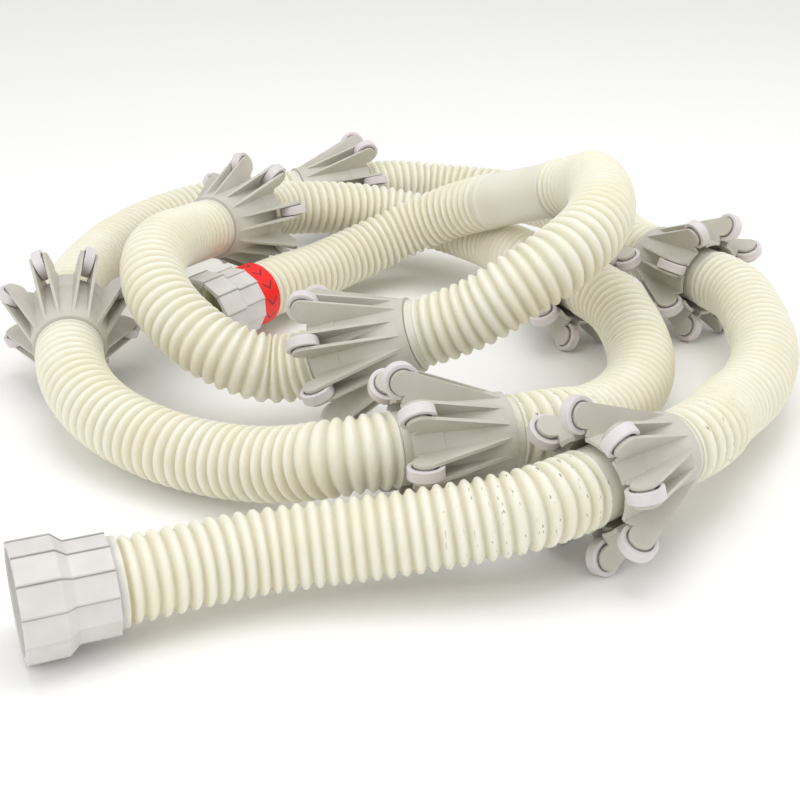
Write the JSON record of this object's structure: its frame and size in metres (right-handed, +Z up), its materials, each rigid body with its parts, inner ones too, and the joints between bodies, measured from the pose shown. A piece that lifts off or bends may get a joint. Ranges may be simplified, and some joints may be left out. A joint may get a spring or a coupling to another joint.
{
  "type": "pool cleaner hose",
  "caption": "Floating corrugated suction hose of an automatic pool cleaner, lying in loops, with conical wheeled guides on its joints and a swivel cuff at each end.",
  "frame": {"origin": "on the floor, under the middle of the cuffs, joints and wheel guides", "axes": "+Z up, +X to the right and +Y away from the front cuff's side, where the hose lies nearest"},
  "size_m": [0.6212, 0.819, 0.175],
  "materials": {
    "hose": "satin blow-moulded polyethylene",
    "collar": "satin",
    "cuff": "fine satin",
    "guide": "satin",
    "wheel": "satin",
    "band": "satin tape"
  },
  "bodies": {
    "root": {"hose_section_1": "hose", "hose_section_2": "hose", "hose_section_3": "hose", "hose_section_4": "hose", "hose_section_5": "hose", "hose_section_6": "hose", "hose_section_7": "hose", "hose_section_8": "hose", "hose_section_9": "hose", "hose_section_10": "hose", "joint_sleeves": "collar", "front_cuff_collar": "collar", "back_cuff_collar": "collar", "marker_band": "band"},
    "guide_1": {"wheel_guide_1": "guide"},
    "wheel_1_1": {"guide_1_wheel_1": "wheel"},
    "wheel_1_2": {"guide_1_wheel_2": "wheel"},
    "wheel_1_3": {"guide_1_wheel_3": "wheel"},
    "wheel_1_4": {"guide_1_wheel_4": "wheel"},
    "wheel_1_5": {"guide_1_wheel_5": "wheel"},
    "wheel_1_6": {"guide_1_wheel_6": "wheel"},
    "wheel_1_7": {"guide_1_wheel_7": "wheel"},
    "wheel_1_8": {"guide_1_wheel_8": "wheel"},
    "guide_2": {"wheel_guide_2": "guide"},
    "wheel_2_1": {"guide_2_wheel_1": "wheel"},
    "wheel_2_2": {"guide_2_wheel_2": "wheel"},
    "wheel_2_3": {"guide_2_wheel_3": "wheel"},
    "wheel_2_4": {"guide_2_wheel_4": "wheel"},
    "wheel_2_5": {"guide_2_wheel_5": "wheel"},
    "wheel_2_6": {"guide_2_wheel_6": "wheel"},
    "wheel_2_7": {"guide_2_wheel_7": "wheel"},
    "wheel_2_8": {"guide_2_wheel_8": "wheel"},
    "guide_3": {"wheel_guide_3": "guide", "guide_3_wheels": "wheel"},
    "guide_4": {"wheel_guide_4": "guide", "guide_4_wheels": "wheel"},
    "guide_5": {"wheel_guide_5": "guide"},
    "wheel_5_1": {"guide_5_wheel_1": "wheel"},
    "wheel_5_2": {"guide_5_wheel_2": "wheel"},
    "wheel_5_3": {"guide_5_wheel_3": "wheel"},
    "wheel_5_4": {"guide_5_wheel_4": "wheel"},
    "wheel_5_5": {"guide_5_wheel_5": "wheel"},
    "wheel_5_6": {"guide_5_wheel_6": "wheel"},
    "wheel_5_7": {"guide_5_wheel_7": "wheel"},
    "wheel_5_8": {"guide_5_wheel_8": "wheel"},
    "guide_6": {"wheel_guide_6": "guide", "guide_6_wheels": "wheel"},
    "guide_7": {"wheel_guide_7": "guide", "guide_7_wheels": "wheel"},
    "guide_8": {"wheel_guide_8": "guide"},
    "wheel_8_1": {"guide_8_wheel_1": "wheel"},
    "wheel_8_2": {"guide_8_wheel_2": "wheel"},
    "wheel_8_3": {"guide_8_wheel_3": "wheel"},
    "wheel_8_4": {"guide_8_wheel_4": "wheel"},
    "wheel_8_5": {"guide_8_wheel_5": "wheel"},
    "wheel_8_6": {"guide_8_wheel_6": "wheel"},
    "wheel_8_7": {"guide_8_wheel_7": "wheel"},
    "wheel_8_8": {"guide_8_wheel_8": "wheel"},
    "front_cuff": {"front_cuff": "cuff"},
    "back_cuff": {"back_cuff": "cuff"}
  },
  "joints": [
    {"name": "guide_1_turn", "type": "hinge", "parent": "root", "child": "guide_1", "pos_m": [0.114, -0.283, 0.0543], "axis": [0.7879, 0.6156, 0.0175], "continuous": true},
    {"name": "guide_1_wheel_1_spin", "type": "hinge", "parent": "guide_1", "child": "wheel_1_1", "pos_m": [0.1244, -0.29186, 0.0119], "axis": [-0.583, 0.7548, -0.3007], "continuous": true},
    {"name": "guide_1_wheel_2_spin", "type": "hinge", "parent": "guide_1", "child": "wheel_1_2", "pos_m": [0.10347, -0.26515, 0.01487], "axis": [-0.5524, 0.694, 0.4617], "continuous": true},
    {"name": "guide_1_wheel_3_spin", "type": "hinge", "parent": "guide_1", "child": "wheel_1_3", "pos_m": [0.08963, -0.24818, 0.04096], "axis": [-0.1982, 0.2267, 0.9536], "continuous": true},
    {"name": "guide_1_wheel_4_spin", "type": "hinge", "parent": "guide_1", "child": "wheel_1_4", "pos_m": [0.09099, -0.25089, 0.07488], "axis": [0.2721, -0.3734, 0.8869], "continuous": true},
    {"name": "guide_1_wheel_5_spin", "type": "hinge", "parent": "guide_1", "child": "wheel_1_5", "pos_m": [0.10675, -0.27168, 0.09677], "axis": [0.583, -0.7548, 0.3007], "continuous": true},
    {"name": "guide_1_wheel_6_spin", "type": "hinge", "parent": "guide_1", "child": "wheel_1_6", "pos_m": [0.12768, -0.29839, 0.0938], "axis": [0.5524, -0.694, -0.4617], "continuous": true},
    {"name": "guide_1_wheel_7_spin", "type": "hinge", "parent": "guide_1", "child": "wheel_1_7", "pos_m": [0.14152, -0.31536, 0.06771], "axis": [0.1982, -0.2267, -0.9536], "continuous": true},
    {"name": "guide_1_wheel_8_spin", "type": "hinge", "parent": "guide_1", "child": "wheel_1_8", "pos_m": [0.14016, -0.31265, 0.03379], "axis": [-0.2721, 0.3734, -0.8869], "continuous": true},
    {"name": "guide_2_turn", "type": "hinge", "parent": "root", "child": "guide_2", "pos_m": [0.263, 0.084, 0.0532], "axis": [-0.4847, 0.8745, -0.0175], "continuous": true},
    {"name": "guide_2_wheel_1_spin", "type": "hinge", "parent": "guide_2", "child": "wheel_2_1", "pos_m": [0.24748, 0.07687, 0.01206], "axis": [-0.8113, -0.4421, 0.3826], "continuous": true},
    {"name": "guide_2_wheel_2_spin", "type": "hinge", "parent": "guide_2", "child": "wheel_2_2", "pos_m": [0.22622, 0.06556, 0.03614], "axis": [-0.3425, -0.1714, 0.9237], "continuous": true},
    {"name": "guide_2_wheel_3_spin", "type": "hinge", "parent": "guide_2", "child": "wheel_2_3", "pos_m": [0.22593, 0.06608, 0.07019], "axis": [0.3269, 0.1996, 0.9237], "continuous": true},
    {"name": "guide_2_wheel_4_spin", "type": "hinge", "parent": "guide_2", "child": "wheel_2_4", "pos_m": [0.24679, 0.07812, 0.09427], "axis": [0.8048, 0.4537, 0.3826], "continuous": true},
    {"name": "guide_2_wheel_5_spin", "type": "hinge", "parent": "guide_2", "child": "wheel_2_5", "pos_m": [0.27658, 0.09463, 0.09427], "axis": [0.8113, 0.4421, -0.3826], "continuous": true},
    {"name": "guide_2_wheel_6_spin", "type": "hinge", "parent": "guide_2", "child": "wheel_2_6", "pos_m": [0.29784, 0.10594, 0.07019], "axis": [0.3425, 0.1714, -0.9237], "continuous": true},
    {"name": "guide_2_wheel_7_spin", "type": "hinge", "parent": "guide_2", "child": "wheel_2_7", "pos_m": [0.29813, 0.10542, 0.03614], "axis": [-0.3269, -0.1996, -0.9237], "continuous": true},
    {"name": "guide_2_wheel_8_spin", "type": "hinge", "parent": "guide_2", "child": "wheel_2_8", "pos_m": [0.27727, 0.09338, 0.01206], "axis": [-0.8048, -0.4537, -0.3826], "continuous": true},
    {"name": "guide_3_turn", "type": "hinge", "parent": "root", "child": "guide_3", "pos_m": [-0.038, 0.361, 0.0531], "axis": [-0.9063, -0.4226, 0], "continuous": true},
    {"name": "guide_4_turn", "type": "hinge", "parent": "root", "child": "guide_4", "pos_m": [-0.259, 0.009, 0.0532], "axis": [0.2076, -0.9768, -0.0523], "continuous": true},
    {"name": "guide_5_turn", "type": "hinge", "parent": "root", "child": "guide_5", "pos_m": [0.002, -0.233, 0.0548], "axis": [0.9511, 0.309, 0], "continuous": true},
    {"name": "guide_5_wheel_1_spin", "type": "hinge", "parent": "guide_5", "child": "wheel_5_1", "pos_m": [0.00558, -0.23754, 0.01063], "axis": [-0.3067, 0.944, -0.1219], "continuous": true},
    {"name": "guide_5_wheel_2_spin", "type": "hinge", "parent": "guide_5", "child": "wheel_5_2", "pos_m": [-0.00456, -0.20633, 0.01973], "axis": [-0.2435, 0.7494, 0.6157], "continuous": true},
    {"name": "guide_5_wheel_3_spin", "type": "hinge", "parent": "guide_5", "child": "wheel_5_3", "pos_m": [-0.00975, -0.19037, 0.04938], "axis": [-0.0377, 0.1159, 0.9925], "continuous": true},
    {"name": "guide_5_wheel_4_spin", "type": "hinge", "parent": "guide_5", "child": "wheel_5_4", "pos_m": [-0.00693, -0.19903, 0.0822], "axis": [0.1902, -0.5855, 0.788], "continuous": true},
    {"name": "guide_5_wheel_5_spin", "type": "hinge", "parent": "guide_5", "child": "wheel_5_5", "pos_m": [0.00223, -0.22722, 0.09897], "axis": [0.3067, -0.944, 0.1219], "continuous": true},
    {"name": "guide_5_wheel_6_spin", "type": "hinge", "parent": "guide_5", "child": "wheel_5_6", "pos_m": [0.01237, -0.25844, 0.08987], "axis": [0.2435, -0.7494, -0.6157], "continuous": true},
    {"name": "guide_5_wheel_7_spin", "type": "hinge", "parent": "guide_5", "child": "wheel_5_7", "pos_m": [0.01755, -0.27439, 0.06022], "axis": [0.0377, -0.1159, -0.9925], "continuous": true},
    {"name": "guide_5_wheel_8_spin", "type": "hinge", "parent": "guide_5", "child": "wheel_5_8", "pos_m": [0.01474, -0.26573, 0.0274], "axis": [-0.1902, 0.5855, -0.788], "continuous": true},
    {"name": "guide_6_turn", "type": "hinge", "parent": "root", "child": "guide_6", "pos_m": [0.157, 0.063, 0.0532], "axis": [-0.4692, 0.8824, -0.0349], "continuous": true},
    {"name": "guide_7_turn", "type": "hinge", "parent": "root", "child": "guide_7", "pos_m": [-0.133, 0.199, 0.074], "axis": [-0.4203, -0.9013, 0.1045], "continuous": true},
    {"name": "guide_8_turn", "type": "hinge", "parent": "root", "child": "guide_8", "pos_m": [-0.052, -0.1, 0.058], "axis": [0.9281, -0.147, 0.342], "continuous": true},
    {"name": "guide_8_wheel_1_spin", "type": "hinge", "parent": "guide_8", "child": "wheel_8_1", "pos_m": [-0.03429, -0.09653, 0.01727], "axis": [0.1079, 0.9855, 0.1308], "continuous": true},
    {"name": "guide_8_wheel_2_spin", "type": "hinge", "parent": "guide_8", "child": "wheel_8_2", "pos_m": [-0.03554, -0.06663, 0.03352], "axis": [-0.1756, 0.6371, 0.7505], "continuous": true},
    {"name": "guide_8_wheel_3_spin", "type": "hinge", "parent": "guide_8", "child": "wheel_8_3", "pos_m": [-0.04534, -0.05644, 0.0645], "axis": [-0.3563, -0.0845, 0.9305], "continuous": true},
    {"name": "guide_8_wheel_4_spin", "type": "hinge", "parent": "guide_8", "child": "wheel_8_4", "pos_m": [-0.05796, -0.07194, 0.09208], "axis": [-0.3282, -0.7566, 0.5655], "continuous": true},
    {"name": "guide_8_wheel_5_spin", "type": "hinge", "parent": "guide_8", "child": "wheel_8_5", "pos_m": [-0.066, -0.10405, 0.10009], "axis": [-0.1079, -0.9855, -0.1308], "continuous": true},
    {"name": "guide_8_wheel_6_spin", "type": "hinge", "parent": "guide_8", "child": "wheel_8_6", "pos_m": [-0.06475, -0.13396, 0.08385], "axis": [0.1756, -0.6371, -0.7505], "continuous": true},
    {"name": "guide_8_wheel_7_spin", "type": "hinge", "parent": "guide_8", "child": "wheel_8_7", "pos_m": [-0.05495, -0.14415, 0.05286], "axis": [0.3563, 0.0845, -0.9305], "continuous": true},
    {"name": "guide_8_wheel_8_spin", "type": "hinge", "parent": "guide_8", "child": "wheel_8_8", "pos_m": [-0.04233, -0.12865, 0.02529], "axis": [0.3282, 0.7566, -0.5655], "continuous": true},
    {"name": "front_cuff_swivel", "type": "hinge", "parent": "root", "child": "front_cuff", "pos_m": [-0.18062, -0.36735, 0.0352], "axis": [0.9239, 0.3827, 0], "continuous": true},
    {"name": "back_cuff_swivel", "type": "hinge", "parent": "root", "child": "back_cuff", "pos_m": [-0.14791, 0.0597, 0.0352], "axis": [0.5736, 0.8192, 0], "continuous": true}
  ]
}
